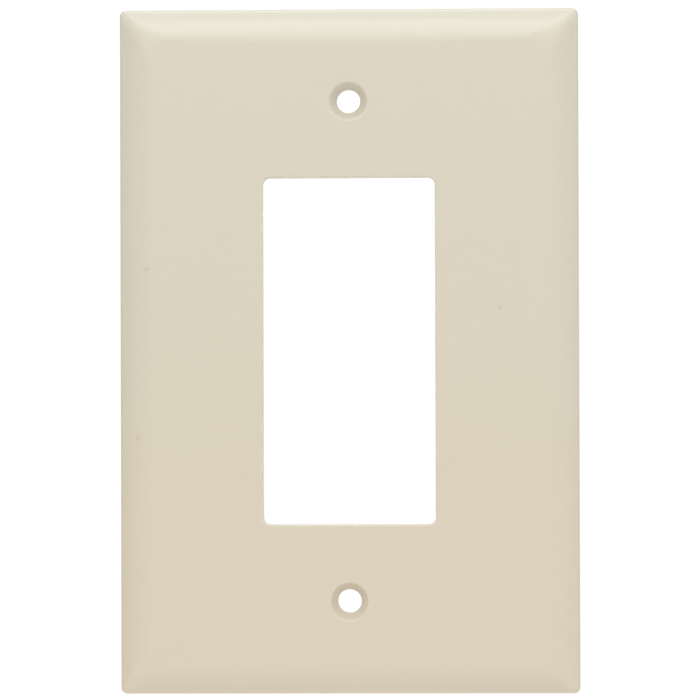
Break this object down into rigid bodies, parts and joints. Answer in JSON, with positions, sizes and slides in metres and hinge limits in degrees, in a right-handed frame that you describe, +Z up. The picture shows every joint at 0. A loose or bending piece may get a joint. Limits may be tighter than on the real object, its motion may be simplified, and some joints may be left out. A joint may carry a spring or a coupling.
{
  "type": "wall plate cover",
  "caption": "Oversize wall plate for a rocker switch or outlet: tall rectangular opening, countersunk screw holes above and below it, bevelled border, ribbed hollow back.",
  "frame": {"origin": "centre of the plate's outline, in the plane of the wall that the back rim rests on", "axes": "+Y into the wall, so the face looks along -Y; +Z up, along the plate's length and from the lower screw hole to the upper; +X to the right as seen from the room"},
  "size_m": [0.0892, 0.006, 0.1332],
  "materials": {
    "plastic": "glossy light almond moulded plastic"
  },
  "bodies": {
    "root": {"plate": "plastic"}
  },
  "joints": []
}
